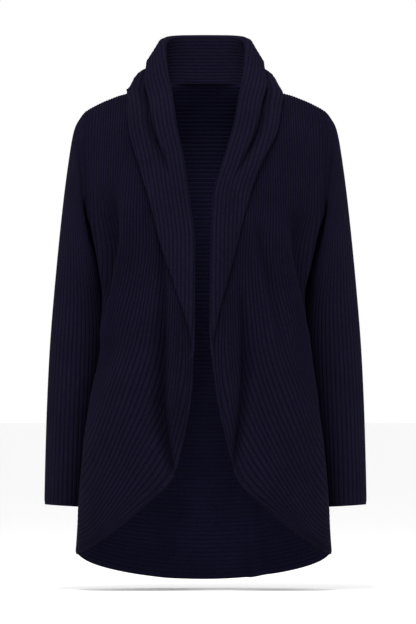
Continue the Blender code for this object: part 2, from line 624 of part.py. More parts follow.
def collar():
    """The collar and both lapels in one band, with ribs along it from one lapel's end to the other's."""
    right, right_pressed = collar_half(-1)
    left, left_pressed = collar_half(1)
    mid = np.concatenate([right[::-1], left[1:]])
    pressed = np.concatenate([right_pressed[::-1], left_pressed[1:]])
    out = facing(mid)
    mid = mid - out * pressed[..., None]
    out = facing(mid)
    seams = between(stops(), COLLAR_STEPS)
    at_right, at_left = sewn(-1, seams)[1], sewn(1, seams)[1]
    out[:, 0] = -np.concatenate([at_right[::-1], at_left[1:]])
    crest = 2 * STAND_RIBS
    plain = [c for c in range(mid.shape[1])
             if c % PLAIN_STEP == 0 or (c > crest - PLAIN_STEP and c % PLAIN_STEP_AT_FOLDS == 0)]
    cloth("collar", mid, out, plain)


for leftover in list(bpy.data.objects):
    bpy.data.objects.remove(leftover)
garment = bpy.data.collections.new("shawl_collar_cardigan")
bpy.context.scene.collection.children.link(garment)
back_edges = back()
for wearer_side in (-1, 1):
    sleeve(wearer_side, front(wearer_side), back_edges[wearer_side])
collar()
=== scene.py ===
# %% [markdown]
# # An open-front cardigan in a wide rib knit
#
# The real garment is a soft, dark navy cardigan with a deep shawl collar, dropped shoulders, long
# straight sleeves and rounded fronts over a longer back. It hangs filled out, as it is worn.
#
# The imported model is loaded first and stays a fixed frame. Every cut piece of knit is then made again
# as a fine grid that is laid over the same body, with its real ribs, folds and edges, and takes the
# place of the plain wall of the CAD. Tables are in millimetres and degrees. X runs across, with the
# wearer's left at +X. The front faces -Y. A drop is a distance down from the side of the neck.

import bpy
import numpy as np
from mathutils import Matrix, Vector


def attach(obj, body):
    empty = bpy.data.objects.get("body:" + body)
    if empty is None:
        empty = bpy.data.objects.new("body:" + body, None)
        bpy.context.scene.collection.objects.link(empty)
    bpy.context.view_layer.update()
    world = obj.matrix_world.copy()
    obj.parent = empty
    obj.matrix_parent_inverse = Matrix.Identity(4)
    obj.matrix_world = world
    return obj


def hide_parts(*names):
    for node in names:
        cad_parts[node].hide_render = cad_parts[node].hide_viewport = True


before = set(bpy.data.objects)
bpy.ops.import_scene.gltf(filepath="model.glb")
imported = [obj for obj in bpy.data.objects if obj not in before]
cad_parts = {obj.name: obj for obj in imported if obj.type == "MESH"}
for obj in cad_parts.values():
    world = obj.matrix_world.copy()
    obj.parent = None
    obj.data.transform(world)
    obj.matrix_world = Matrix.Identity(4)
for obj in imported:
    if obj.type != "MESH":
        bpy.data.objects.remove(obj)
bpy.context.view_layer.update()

print("nodes of the frame:", sorted(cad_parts))

# %% [markdown]
# ## Tables and how they are read
#
# A garment's surface is easiest to describe by a few rows of measures, as a pattern cutter does, and
# to read smoothly between them. The curve used here never overshoots its rows, so a table shows at a
# glance how far the cloth can go.

# %% Read a table of measures on a smooth curve
MM = 0.001
TINY = 1e-9


def table(columns, *rows):
    """Names the columns of some rows of measures. Rows are found by the first column."""
    return dict(zip(columns.split(), np.array(rows, float).T))


def read(rows, column, at):
    """Reads a column at any value of the first one, on a smooth curve that never overshoots."""
    key, value = next(iter(rows.values())), rows[column]
    width = np.diff(key)
    rise = np.diff(value) / width
    turns = rise[:-1] * rise[1:] > 0
    both = np.where(turns, rise[:-1] + rise[1:], 1)
    inner = np.where(turns, 2 * rise[:-1] * rise[1:] / both, 0)
    slope = np.concatenate([rise[:1], inner, rise[-1:]])
    at = np.clip(at, key[0], key[-1])
    i = np.clip(np.searchsorted(key, at, side="right") - 1, 0, len(key) - 2)
    t = (at - key[i]) / width[i]
    ends = value[i] * (1 + 2 * t) * (1 - t) ** 2 + value[i + 1] * t * t * (3 - 2 * t)
    return ends + width[i] * t * (1 - t) * (slope[i] * (1 - t) - slope[i + 1] * t)


def unit(vectors):
    """The same directions, one long."""
    return vectors / np.maximum(np.linalg.norm(vectors, axis=-1, keepdims=True), TINY)


def lengths(path):
    """How far along a path its points lie."""
    return np.concatenate([[0], np.cumsum(np.linalg.norm(np.diff(path, axis=0), axis=-1))])


def even(path, count):
    """Points at equal steps along a path."""
    run = lengths(path)
    return np.stack([np.interp(np.linspace(0, run[-1], count), run, c) for c in path.T], -1)


def smooth(start, end, at):
    """Rises softly from 0 at start to 1 at end."""
    t = np.clip((at - start) / (end - start), 0, 1)
    return t * t * (3 - 2 * t)


print("halfway up a smooth rise:", float(smooth(0, 1, 0.5)))

# %% [markdown]
# ## The figure that the cardigan hangs on
#
# The cardigan hangs filled out, as when it is worn, so every piece of cloth lies on the same unseen
# figure. Its sections are squarish ovals whose half width and depth a table gives at each drop. Near
# the shoulder line the sections close, and the sides tuck in under the arms. Tuck is the share of the
# half width that is lost there, and lean is how far the section stands to one side.
#
# A point of the figure is found by its turn and its distance below the shoulder line. The turn goes
# round from 0 at the centre front, past 90 at the side, to 180 at the centre back.

# %% The figure's measures
BODY = table(
    "drop half_width front back tuck lean",
    (-18, 212, 112, 104, 0.00, 0.0),
    (30, 212, 118, 108, 0.00, 0.0),
    (138, 211, 126, 116, 0.00, 0.0),
    (190, 206, 129, 118, 0.08, 0.0),
    (218, 199, 130, 117, 0.17, -0.5),
    (250, 191, 130.5, 115, 0.18, -1.0),
    (285, 185, 131, 114, 0.19, -1.5),
    (340, 179, 132, 112, 0.17, -2.5),
    (410, 178, 133, 114, 0.15, -3.0),
    (508, 196, 136, 121, 0.15, -3.0),
    (592, 208, 139, 129, 0.14, -3.0),
    (700, 215, 143, 138, 0.08, -3.0),
    (768, 215, 145, 144, 0.02, -3.0),
    (812, 216, 147, 148, 0.00, -3.0))
SHOULDER = table(
    "turn drop",
    (0, -18), (13, -17.5), (17, -15), (27, -5.5), (34, -0.5), (38.2, 2.4), (44.2, 8.0), (51.1, 14.2),
    (57.5, 20.2), (61.2, 23.2), (66, 27.6), (72, 31), (90, 34))
BODY_SQUARENESS = 0.833
SHOULDER_ROUNDING = 150
ROUNDING_POWER = 0.7
TUCK_TURN, TUCK_REACH = 102, 34
NECK_ACROSS, NECK_DEEP, NECK_SOFTENS = 76, 57, 2.5


def below_shoulder(turn, drop):
    """Distance below the shoulder line of a point at this turn and drop."""
    return drop - read(SHOULDER, "drop", np.minimum(turn, 180 - turn))


def body(side, turn, below):
    """Points of the figure, on one side of it: side is -1 for the wearer's right and 1 for the left."""
    turn, below = np.broadcast_arrays(np.asarray(turn, float), np.asarray(below, float))
    drop = below + read(SHOULDER, "drop", np.minimum(turn, 180 - turn))
    across = np.sin(np.radians(turn)) ** BODY_SQUARENESS
    along = np.abs(np.cos(np.radians(turn))) ** BODY_SQUARENESS
    tuck = np.cos(np.clip((turn - TUCK_TURN) / TUCK_REACH, -1, 1) * np.pi / 2) ** 2
    x = read(BODY, "half_width", drop) * across * (1 - read(BODY, "tuck", drop) * tuck)
    in_front = turn < 90
    deep = np.where(in_front, read(BODY, "front", drop), read(BODY, "back", drop))
    rounded = (1 - (1 - np.clip(below / SHOULDER_ROUNDING, 0, 1)) ** 2) ** ROUNDING_POWER
    neck = NECK_DEEP * np.clip(1 - (x / NECK_ACROSS) ** 2, 0, 1) ** (0.5 + NECK_SOFTENS * rounded)
    neck = np.where(in_front, 0, neck)
    y = neck + (deep * along - neck) * rounded
    y = np.where(in_front, -y, y)
    return np.stack([side * x + read(BODY, "lean", drop), y, -drop], -1)


def place(across, drop):
    """Turn and distance below the shoulder of a point of the front at this width and drop."""
    share = np.clip(across / read(BODY, "half_width", drop), 0, 1)
    turn = np.degrees(np.arcsin(share ** (1 / BODY_SQUARENESS)))
    return turn, np.maximum(drop - read(SHOULDER, "drop", turn), 0)


print("chest of the figure:", 2 * BODY["half_width"][2], "mm across")

# %% [markdown]
# ## Knitted cloth
#
# A rib knit is soft cloth about 2 mm thick with raised ribs on both faces: a groove on one face is a
# rib on the other. A flat grid is added with as many squares as the ribs need, its points are moved
# onto the figure, and Solidify gives the wall its thickness. Only then are the ribs raised, on each
# face along its own outward direction, because ribs that are raised before Solidify fold into
# themselves in the grooves. The grid's UV map carries the ribs: U counts ribs across and V counts
# centimetres along them, so the finish can follow the knit on every piece.

# %% Make a knitted piece from a grid of points
THICKNESS = 2.0
RIB_HEIGHT = 1.0
RIB_ROUNDNESS = 3.0
CREST = 0.5
CENTIMETRE = 10.0
GRID_SIZE = 2
CLOSES_WITHIN_M = 0.00002


def facing(mid, closed=False):
    """Directions square to a grid of points, outwards where its rows run down, columns left to right."""
    down = np.gradient(mid, axis=0)
    if closed:
        ring = mid[:, :-1]
        along = np.roll(ring, -1, 1) - np.roll(ring, 1, 1)
        along = np.concatenate([along, along[:, :1]], 1)
    else:
        along = np.gradient(mid, axis=1)
    return unit(np.cross(down, along))


def rib(phase):
    """Height of a rib, rounded over its crest and narrow in its grooves, which lie at whole phases."""
    from_crest = np.abs(phase - np.floor(phase) - CREST) * 2
    return 1 - from_crest ** RIB_ROUNDNESS


def deselect():
    """Leaves nothing selected, so that the next operator acts on the new piece alone."""
    if bpy.context.object and bpy.context.object.mode != "OBJECT":
        bpy.ops.object.mode_set(mode="OBJECT")
    bpy.ops.object.select_all(action="DESELECT")


def knit(name, mid, out, phase, along, ribbed, closed=False):
    """A knitted piece on the points of mid. ribbed is 1 where it has its full ribs and 0 where plain."""
    rows, columns = mid.shape[:2]
    deselect()
    bpy.ops.mesh.primitive_grid_add(
        x_subdivisions=columns - 1, y_subdivisions=rows - 1, size=GRID_SIZE)
    piece = bpy.context.object
    piece.name = piece.data.name = name
    mesh = piece.data
    flat = np.zeros(len(mesh.vertices) * 3)
    mesh.vertices.foreach_get("co", flat)
    flat = flat.reshape(-1, 3)
    column = np.rint((flat[:, 0] / GRID_SIZE + 0.5) * (columns - 1)).astype(int)
    row = rows - 1 - np.rint((flat[:, 1] / GRID_SIZE + 0.5) * (rows - 1)).astype(int)
    mesh.vertices.foreach_set("co", (mid[row, column] * MM).ravel())
    corner = np.zeros(len(mesh.loops), int)
    mesh.loops.foreach_get("vertex_index", corner)
    knit_map = np.stack([phase[row, column][corner], along[row, column][corner] / CENTIMETRE], -1)
    mesh.uv_layers[0].data.foreach_set("uv", knit_map.ravel())
    mesh.uv_layers[0].name = "Knit"
    count = len(mesh.vertices)
    wall = piece.modifiers.new("wall", "SOLIDIFY")
    wall.thickness = THICKNESS * MM
    wall.offset = 0
    bpy.ops.object.modifier_apply(modifier="wall")
    points = np.zeros(len(mesh.vertices) * 3)
    mesh.vertices.foreach_get("co", points)
    points = points.reshape(-1, 3)
    outward = out[row, column]
    middle = mid[row, column] * MM
    here = phase[row, column]
    amount = ribbed[row, column] * RIB_HEIGHT * MM
    for half in (slice(0, count), slice(count, None)):
        side = np.sign(np.sum((points[half] - middle) * outward, -1))
        raised = rib(np.where(side > 0, here, here + CREST)) * amount * side
        points[half] += outward * raised[:, None]
    mesh.vertices.foreach_set("co", points.ravel())
    if closed:
        bpy.ops.object.mode_set(mode="EDIT")
        bpy.ops.mesh.select_all(action="SELECT")
        bpy.ops.mesh.remove_doubles(threshold=CLOSES_WITHIN_M)
        bpy.ops.object.mode_set(mode="OBJECT")
    bpy.ops.object.shade_smooth()
    mesh.update()
    print(name, "has", len(mesh.polygons), "faces and", round(float(np.ptp(phase)), 1), "ribs")
    return piece


print("a rib knit", THICKNESS + RIB_HEIGHT, "mm thick from a crest to the groove behind it")

# %% [markdown]
# ## Dark navy brushed wool and acrylic rib knit
#
# The yarn is a soft wool and acrylic mix, spun loosely, dyed dark navy with a violet cast and knitted
# in a wide rib. Its loose fibres scatter light, so it has no highlight, but a faint bluish bloom
# where the cloth turns away from the eye. The grooves between the ribs see little light, and that
# shade is painted into their colour, nearly black. Each rib is two wales of V-shaped stitches, which
# are about 3.6 mm wide and 2.8 mm tall. They are finer than a pixel of the front view, so they are
# drawn at their real size in the bump, with painted shade where the stitches meet, and a coarser
# mottle of the yarn carries the eye at a distance.

# %% Turn sRGB hex into linear light, and add nodes with one function
def linear(hex_colour):
    """An sRGB hex colour in linear light."""
    parts = [int(hex_colour[i:i + 2], 16) / 255 for i in (0, 2, 4)]
    return [c / 12.92 if c <= 0.04045 else ((c + 0.055) / 1.055) ** 2.4 for c in parts] + [1]


def add(tree, kind, settings=(), **links):
    """Adds a node of a kind, with its settings and with each named or numbered input linked or set."""
    node = tree.nodes.new(kind)
    for key, value in dict(settings).items():
        setattr(node, key, value)
    for key, value in links.items():
        socket = node.inputs[int(key[1:])] if key[1:].isdigit() else node.inputs[key.replace("_", " ")]
        if isinstance(value, bpy.types.NodeSocket):
            tree.links.new(value, socket)
        else:
            socket.default_value = value
    return node


print("mid grey in linear light:", round(linear("808080")[0], 3))

# %% The finish of the knit
STITCHES_PER_CM = 1 / 0.28
WALES_PER_RIB = 2
YARN_MOTTLE_PER_M, FIBRE_PER_M, CLOUD_PER_M = 520, 2400, 14
BLOOM = "6A6894"
# How much of a rib the painted shade of its groove takes, and how far a stitch rises from its wale's
# middle to its edge.
GROOVE_SHARE, STITCH_LEAN = 0.24, 1.3
# How strongly each pattern changes the colour or the roughness, and the level that it starts from; the
# stitch's change is painted shade.
MOTTLE, CLOUD, STITCH_PAINTED_SHADE, ROUGHNESS = (2.1, -0.05), (0.5, 0.75), (0.5, 0.87), (0.1, 0.87)
STITCH_RELIEF, WALE_RELIEF, FIBRE_RELIEF = 0.7, 0.5, 0.45
BUMP_STRENGTH, BUMP_HEIGHT_M = 0.5, 0.0006


def rib_knit(name, crest, groove):
    """Brushed wool and acrylic rib knit, with the colour of its crests and the painted shade of its
    grooves.
    """
    finish = bpy.data.materials.new(name)
    finish.use_nodes = True
    tree = finish.node_tree
    shader = tree.nodes["Principled BSDF"]

    def maths(operation, a, b=0.0, c=0.0):
        return add(tree, "ShaderNodeMath", {"operation": operation}, _0=a, _1=b, _2=c).outputs[0]

    coordinates = add(tree, "ShaderNodeTexCoord").outputs["Object"]
    knit_map = add(tree, "ShaderNodeUVMap", {"uv_map": "Knit"}).outputs["UV"]
    parts = add(tree, "ShaderNodeSeparateXYZ", Vector=knit_map).outputs
    ribs, along = parts["X"], parts["Y"]
    from_groove = maths("PINGPONG", ribs, 0.5)
    open_rib = add(tree, "ShaderNodeMapRange", {"interpolation_type": "SMOOTHSTEP"}, Value=from_groove,
                   From_Min=0.0, From_Max=GROOVE_SHARE).outputs["Result"]
    wale = maths("PINGPONG", maths("MULTIPLY", ribs, float(WALES_PER_RIB)), 0.5)
    rise = maths("MULTIPLY", wale, STITCH_LEAN)
    course = maths("ADD", maths("MULTIPLY", along, STITCHES_PER_CM), rise)
    stitch = maths("PINGPONG", course, 0.5)
    wale_round = maths("SQRT", maths("MULTIPLY", wale, 2.0))
    mottle, fibre, cloud = (
        add(tree, "ShaderNodeTexNoise", Vector=coordinates, Scale=float(scale), Detail=detail,
            Roughness=rough).outputs["Fac"]
        for scale, detail, rough in (
            (YARN_MOTTLE_PER_M, 3.0, 0.65), (FIBRE_PER_M, 2.0, 0.7), (CLOUD_PER_M, 2.0, 0.5)))
    # Painted shade: the colour darkens from the crest's colour to the groove's near black between the
    # ribs.
    crest_and_painted_groove_shade = add(tree, "ShaderNodeMix", {"data_type": "RGBA"}, Factor=open_rib,
               _6=linear(groove), _7=linear(crest)).outputs[2]
    mottle_and_painted_stitch_shade = maths("MULTIPLY_ADD", mottle, *MOTTLE)
    mottle_and_painted_stitch_shade = maths("MULTIPLY", mottle_and_painted_stitch_shade, maths("MULTIPLY_ADD", cloud, *CLOUD))
    # Painted shade: the colour darkens where the stitches meet, course by course.
    mottle_and_painted_stitch_shade = maths("MULTIPLY", mottle_and_painted_stitch_shade, maths("MULTIPLY_ADD", stitch, *STITCH_PAINTED_SHADE))
    grey = add(tree, "ShaderNodeCombineColor", Red=mottle_and_painted_stitch_shade, Green=mottle_and_painted_stitch_shade, Blue=mottle_and_painted_stitch_shade).outputs[0]
    colour = add(tree, "ShaderNodeMix", {"data_type": "RGBA", "blend_type": "MULTIPLY"}, Factor=1.0,
                 _6=crest_and_painted_groove_shade, _7=grey).outputs[2]
    tree.links.new(colour, shader.inputs["Base Color"])
    relief = maths("MULTIPLY_ADD", stitch, STITCH_RELIEF, maths("MULTIPLY", wale_round, WALE_RELIEF))
    relief = maths("MULTIPLY_ADD", fibre, FIBRE_RELIEF, relief)
    bump = add(tree, "ShaderNodeBump", Height=relief, Strength=BUMP_STRENGTH, Distance=BUMP_HEIGHT_M)
    tree.links.new(bump.outputs[0], shader.inputs["Normal"])
    tree.links.new(maths("MULTIPLY_ADD", mottle, *ROUGHNESS), shader.inputs["Roughness"])
    shader.inputs["Specular IOR Level"].default_value = 0.02
    shader.inputs["Sheen Weight"].default_value = 0.006
    shader.inputs["Sheen Roughness"].default_value = 0.45
    shader.inputs["Sheen Tint"].default_value = linear(BLOOM)
    return finish


# %% The finish of each part of the garment
# The sleeves and the collar are a little lighter copies of the body's finish, and the inner face of the
# back a much lighter one: painted light.
# The second colour of each finish is the painted shade of its grooves.
BODY_KNIT = rib_knit("brushed_wool_acrylic_rib_body", "0F0D1C", "08070E")
SLEEVE_KNIT = rib_knit("brushed_wool_acrylic_rib_sleeve", "110F1E", "090811")
COLLAR_KNIT = rib_knit("brushed_wool_acrylic_rib_collar", "110F1E", "0A0912")
BACK_INSIDE_PAINTED_LIGHT_KNIT = rib_knit("brushed_wool_acrylic_rib_back_inside_painted_light", "18162B", "11101D")
FINISHES = {"collar": COLLAR_KNIT, "sleeve_left": SLEEVE_KNIT, "sleeve_right": SLEEVE_KNIT}
print("finish:", BODY_KNIT.name, "with", len(BODY_KNIT.node_tree.nodes), "nodes")

# %% [markdown]
# ## The fronts
#
# Each front hangs from the shoulder and the neckline. Its ribs run straight down over the chest, then
# swing out to the side as the cloth is cut round at the hem. The table of rib lines follows that: a
# line for some shares of the width, from the front edge to the armhole, with the others between them.
# The cloth is a grid whose columns follow the ribs, eight points to a rib, so each rib is whole from
# the shoulder to where it ends at the side.

# %% Where the collar is sewn on
# Down this length, from this drop on, the half width of the neckline's V grows less by its width.
V_WIDTH, V_TOP, V_LENGTH = 51, -15, 440
V_NARROWS_FROM, V_NARROWS_BY = 0.72, {-1: 8.5, 1: 12.5}


def v_across(side, down):
    """Half the opening's width down the neckline, which closes a little more at its end."""
    narrows = V_NARROWS_BY[side] * smooth(V_NARROWS_FROM, 1, down)
    return NECK_ACROSS - V_WIDTH * down - narrows


def neckline(side, seam):
    """Points where the collar is sewn on: behind the neck at 0, its side at 1, down the front to 2."""
    seam = np.asarray(seam, float)
    angle = np.radians(90 * np.clip(seam, 0, 1))
    behind_x = NECK_ACROSS * np.sin(angle)
    share = behind_x / read(BODY, "half_width", V_TOP)
    behind = body(side, 180 - np.degrees(np.arcsin(share ** (1 / BODY_SQUARENESS))), 0)
    behind[..., 1] = NECK_DEEP * np.cos(angle)
    down = np.clip(seam - 1, 0, None)
    turn, below = place(v_across(side, np.clip(down, 0, 1)), V_TOP + V_LENGTH * down)
    return np.where((seam <= 1)[..., None], behind, body(side, turn, below))


print("neckline ends", -round(float(neckline(1, 2.0)[2])), "mm below the side of the neck")

# %% The rib lines of a front
RIB_LINE = "drop turn"
FRONT_EDGE = {
    -1: table(RIB_LINE, (425, 3.35), (450, 3.3), (480, 3.4), (508, 3.8), (540, 4.8), (590, 7.0),
              (634, 9.7), (655, 13.4), (682, 22.1), (713, 33.8), (741, 49.0), (760, 69.0), (766, 96.0)),
    1: table(RIB_LINE, (425, 2.45), (450, 2.7), (480, 3.4), (508, 4.2), (540, 5.5), (590, 8.2),
             (634, 10.7), (655, 14.0), (682, 22.4), (713, 33.8), (741, 49.0), (760, 69.0), (766, 96.0))}
FRONT_RIB_LINES = {
    0.045: table(RIB_LINE, (323, 8.5), (416, 6.4), (497, 5.8), (547, 8.1), (597, 10.7), (630, 13.2),
                 (655, 17.5), (684, 27.0), (713, 38.5), (738, 52.0), (755, 71.0), (761, 96.0)),
    0.12: table(RIB_LINE, (182, 11.34), (235, 10.9), (320, 10.1), (400, 10.2), (500, 11.4),
                (563, 14.0), (597, 17.9), (633, 24.3), (663, 30.9), (695, 39.6), (722, 49.0),
                (743, 61.0), (754, 96.0)),
    0.21: table(RIB_LINE, (49, 14.9), (99, 14.3), (180, 13.6), (258, 13.6), (400, 15.2),
                (470, 17.2), (517, 19.8), (558, 24.0), (603, 30.6), (642, 37.4), (678, 46.0),
                (710, 57.0), (744, 96.0)),
    0.32: table(RIB_LINE, (-15, 17.0), (140, 18.2), (258, 19.7), (342, 23.2), (420, 26.6),
                (475, 29.8), (517, 33.4), (563, 39.2), (613, 47.0), (660, 57.0), (722, 96.0)),
    0.40: table(RIB_LINE, (-12, 21.0), (140, 22.4), (240, 23.8), (282, 25.8), (330, 29.3),
                (377, 32.8), (413, 36.2), (470, 41.7), (540, 49.5), (600, 59.0), (682, 96.0)),
    0.53: table(RIB_LINE, (-7, 28.0), (140, 29.4), (207, 31.4), (270, 34.8), (307, 38.5),
                (342, 43.0), (377, 47.8), (413, 52.5), (462, 58.0), (520, 67.0), (604, 96.0)),
    0.76: table(RIB_LINE, (7, 42.7), (100, 44.6), (198, 46.2), (250, 48.5), (290, 51.5),
                (330, 56.0), (370, 61.5), (410, 69.0), (440, 78.0), (480, 96.0)),
    0.88: table(RIB_LINE, (16, 52.5), (100, 54.6), (160, 55.6), (200, 57.5), (240, 60.5),
                (280, 64.5), (320, 70.5), (355, 79.0), (398, 96.0))}
ARMHOLE_FRONT = table(
    RIB_LINE, (25.6, 66.0), (38, 68.0), (60, 70.3), (92, 71.0), (130, 69.3), (160, 70.0),
    (183, 75.0), (198, 84.0), (204, 96.0))
FRONT_RIBS, POINTS_A_RIB = 44, 8
# Rows of the grid beside the armhole and beside the side seam below it.
ROWS_EACH = 8
ARMHOLE_ROWS, SIDE_ROWS = 9 * ROWS_EACH, 6 * ROWS_EACH
# The side seam lies at this turn, this far behind the middle of the figure. The cloth of the fronts
# reaches it from this drop on.
SIDE_SEAM, SIDE_SEAM_ROOM, SIDE_SEAM_BACK, SIDE_TOP_DROP = 96, 0.1, 18, 316
SEAM_GAP = 0.3
ROWS_CLOSER_ABOVE = 1.1
NECK_EASES_OVER = 5 * ROWS_EACH
# This share of a front's columns starts at the neckline, and the others start at the shoulder.
NECKLINE_SHARE = 9 / 28
FINE = 240


def line(rows, count, closer=1):
    """Turns and drops along one rib: a smooth line through its rows, with steps closer at its top."""
    key = np.arange(len(rows["drop"]))
    at = np.linspace(0, key[-1], FINE)
    turn, drop = (read({"at": key, c: rows[c]}, c, at) for c in ("turn", "drop"))
    run = lengths(body(1, turn, np.maximum(below_shoulder(turn, drop), 0)))
    steps = run[-1] * np.linspace(0, 1, count) ** closer
    return np.interp(steps, run, turn), np.interp(steps, run, drop)


def front_lines(side):
    """Turn and drop of every point of a front: rows down the ribs, columns across them."""
    lines = [line(ribs, ARMHOLE_ROWS + SIDE_ROWS + 1, ROWS_CLOSER_ABOVE)
             for ribs in (FRONT_EDGE[side], *FRONT_RIB_LINES.values())]
    armhole = line(ARMHOLE_FRONT, ARMHOLE_ROWS + 1)
    seam = np.linspace(ARMHOLE_FRONT["drop"][-1], SIDE_TOP_DROP, SIDE_ROWS + 1)[1:]
    lines.append((np.append(armhole[0], np.full(SIDE_ROWS, SIDE_SEAM)), np.append(armhole[1], seam)))
    share = np.array([0, *FRONT_RIB_LINES, 1])
    columns = np.linspace(0, 1, FRONT_RIBS * POINTS_A_RIB + 1)
    turn, drop = (np.array([read({"share": share, "v": v}, "v", columns) for v in np.array(part).T])
                  for part in zip(*lines))
    return columns, turn, drop


print("rib lines given for a front:", len(FRONT_RIB_LINES) + 2, "for", FRONT_RIBS, "ribs")

# %% [markdown]
# Folds are what makes cloth look like cloth. Here the weight of the fronts pulls a long soft ridge
# from the chest out over each side, with a crease outside it, and a wide trough runs down behind each
# front edge. Each fold is a line on the cloth, given by how far across it lies at each drop, how far
# it lifts the cloth, or presses it in where that is negative, and how wide it is on its outer and its
# inner side. The folds are raised before the wall is made. A cloth simulation could find folds of its
# own, but not these ones.

# %% The folds of each piece
FOLD = "drop across lift outside inside"
FOLDS_START, FOLDS_GROW_OVER = 20, 45
FOLDS = {
    "front_right": (
        table(FOLD, (105, -122, 0, 12, 30), (165, -130, 8, 11, 26), (225, -130, 16, 7, 24),
              (277, -136, 18, 7, 24), (342, -148, 15, 7, 24), (420, -168, 0, 12, 30)),
        table(FOLD, (150, -162, 0, 20, 14), (210, -152, -15, 17, 9), (260, -154, -20, 15, 8),
              (310, -160, -17, 13, 8), (350, -167, -8, 12, 8), (390, -176, 0, 14, 12)),
        table(FOLD, (190, -74, 0, 10, 8), (240, -73, -6, 10, 5), (342, -69, -13, 12, 6),
              (425, -71, -21, 14, 7), (508, -72, -24, 15, 7), (570, -65, -21, 13, 6),
              (610, -57, -14, 10, 5), (640, -50, -5, 8, 4), (655, -46, 0, 8, 4)),
        table(FOLD, (330, -52, 0, 10, 10), (425, -52, 5, 11, 11), (508, -54, 6, 11, 11),
              (600, -42, 4, 9, 9), (640, -38, 0, 8, 8)),
        table(FOLD, (380, -112, 0, 20, 20), (470, -118, 5, 20, 20), (560, -120, 5, 22, 22),
              (650, -110, 0, 22, 22)),
        table(FOLD, (100, -98, 0, 9, 9), (160, -96, -2.5, 9, 9), (260, -92, -2.5, 8, 8),
              (330, -90, 0, 8, 8))),
    "front_left": (
        table(FOLD, (190, 118, 0, 12, 22), (247, 127, 12, 9, 18), (328, 143, 15, 8, 18),
              (383, 154, 14, 8, 18), (447, 170, 9, 9, 18), (530, 184, 0, 12, 20)),
        table(FOLD, (190, 148, 0, 18, 12), (250, 151, -14, 15, 9), (320, 163, -13, 13, 8),
              (375, 174, -7, 12, 8), (420, 180, 0, 13, 10)),
        table(FOLD, (190, 70, 0, 10, 10), (238, 75, 7, 6, 12), (300, 88, 8, 6, 12),
              (397, 109, 6, 7, 14), (470, 124, 0, 10, 14)),
        table(FOLD, (205, 84, 0, 8, 6), (250, 90, -5, 7, 5), (330, 108, -5, 8, 5),
              (410, 124, 0, 9, 6)),
        table(FOLD, (320, 58, 0, 9, 5), (363, 60, -10, 10, 5), (410, 63, -14, 12, 6),
              (453, 63, -18, 13, 6), (532, 58, -18, 12, 6), (590, 50, -12, 9, 5),
              (625, 47, -5, 8, 4), (645, 44, 0, 8, 4)),
        table(FOLD, (350, 44, 0, 9, 9), (430, 45, 4, 10, 10), (520, 43, 4, 10, 10),
              (600, 36, 0, 8, 8))),
    "back": (
        table(FOLD, (600, 72, 0, 20, 16), (717, 76, -9, 14, 9), (812, 80, -14, 10, 7)),
        table(FOLD, (640, 100, 0, 20, 14), (740, 98, 5, 18, 9), (812, 98, 8, 16, 8)),
        table(FOLD, (620, -60, 0, 24, 24), (812, -66, -6, 22, 22)),
        table(FOLD, (300, -8, 0, 14, 14), (430, 0, 4, 14, 14), (560, 6, 0, 14, 14)))}


def folded(name, mid, out):
    """The grid with the folds of that piece pressed into it or raised from it."""
    lift = np.zeros(mid.shape[:2])
    for fold in FOLDS[name]:
        drop = -mid[..., 2]
        across = read(fold, "across", drop)
        aside = (mid[..., 0] - across) * np.sign(across)
        aside = aside / np.where(aside > 0, read(fold, "outside", drop), read(fold, "inside", drop))
        lift = lift + read(fold, "lift", drop) * np.exp(-aside ** 2)
    return mid + out * lift[..., None]


print("folds:", {name: len(lines) for name, lines in FOLDS.items()})


# %% Knit the two fronts
EDGE_BAND, EDGE_PLAIN_SHARE = 7.0, 0.35


def down_the_rows(mid):
    """How far down its column each point of a grid lies."""
    step = np.linalg.norm(np.diff(mid, axis=0), axis=-1)
    return np.concatenate([np.zeros((1, mid.shape[1])), np.cumsum(step, axis=0)], 0)


def across_the_columns(mid):
    """How far along its row each point of a grid lies."""
    return down_the_rows(mid.transpose(1, 0, 2)).T


def front(side):
    """One front, with its ribs as columns and the neckline and shoulder seams as its first row."""
    name = "front_right" if side < 0 else "front_left"
    columns, turn, drop = front_lines(side)
    turn[-1] = SIDE_SEAM
    sewn = int(round(NECKLINE_SHARE * (len(columns) - 1))) + 1
    down = np.linspace(1, 0, sewn)
    sewn_turn = place(v_across(side, down), V_TOP + V_LENGTH * down)[0]
    eased = np.clip(1 - np.arange(len(turn)) / NECK_EASES_OVER, 0, 1)[:, None]
    turn[:, :sewn] += eased * (sewn_turn - turn[0, :sewn])
    drop[:, :sewn] += eased * (V_TOP + V_LENGTH * down - drop[0, :sewn])
    below = np.maximum(below_shoulder(turn, drop), 0)
    mid = body(side, np.minimum(turn, SIDE_SEAM - SIDE_SEAM_ROOM), below)
    neck_turn = place(NECK_ACROSS, V_TOP)[0]
    shoulder = body(side, np.linspace(neck_turn, float(ARMHOLE_FRONT["turn"][0]), FINE), 0)
    mid[0, sewn - 1:] = even(shoulder, len(columns) - sewn + 1)
    mid[0, sewn - 1:, 1] -= SEAM_GAP / 2
    order = slice(None, None, side)
    mid = mid[:, order]
    out = facing(mid)
    in_front = np.clip((-mid[..., 1:2] - FOLDS_START) / FOLDS_GROW_OVER, 0, 1)
    mid = mid + (folded(name, mid, out) - mid) * in_front
    mid = mid[:, order]
    mid[ARMHOLE_ROWS:, -1, 1] = mid[-1, :, 1] = SIDE_SEAM_BACK - SEAM_GAP / 2
    out = facing(mid[:, order])[:, order]
    phase = np.broadcast_to(columns * FRONT_RIBS, mid.shape[:2]).copy()
    along = down_the_rows(mid)
    ribbed = smooth(EDGE_BAND * EDGE_PLAIN_SHARE, EDGE_BAND, across_the_columns(mid))
    piece = knit(name, *(part[:, order] for part in (mid, out, phase, along, ribbed)))
    return piece, mid[:ARMHOLE_ROWS + 1, -1], mid


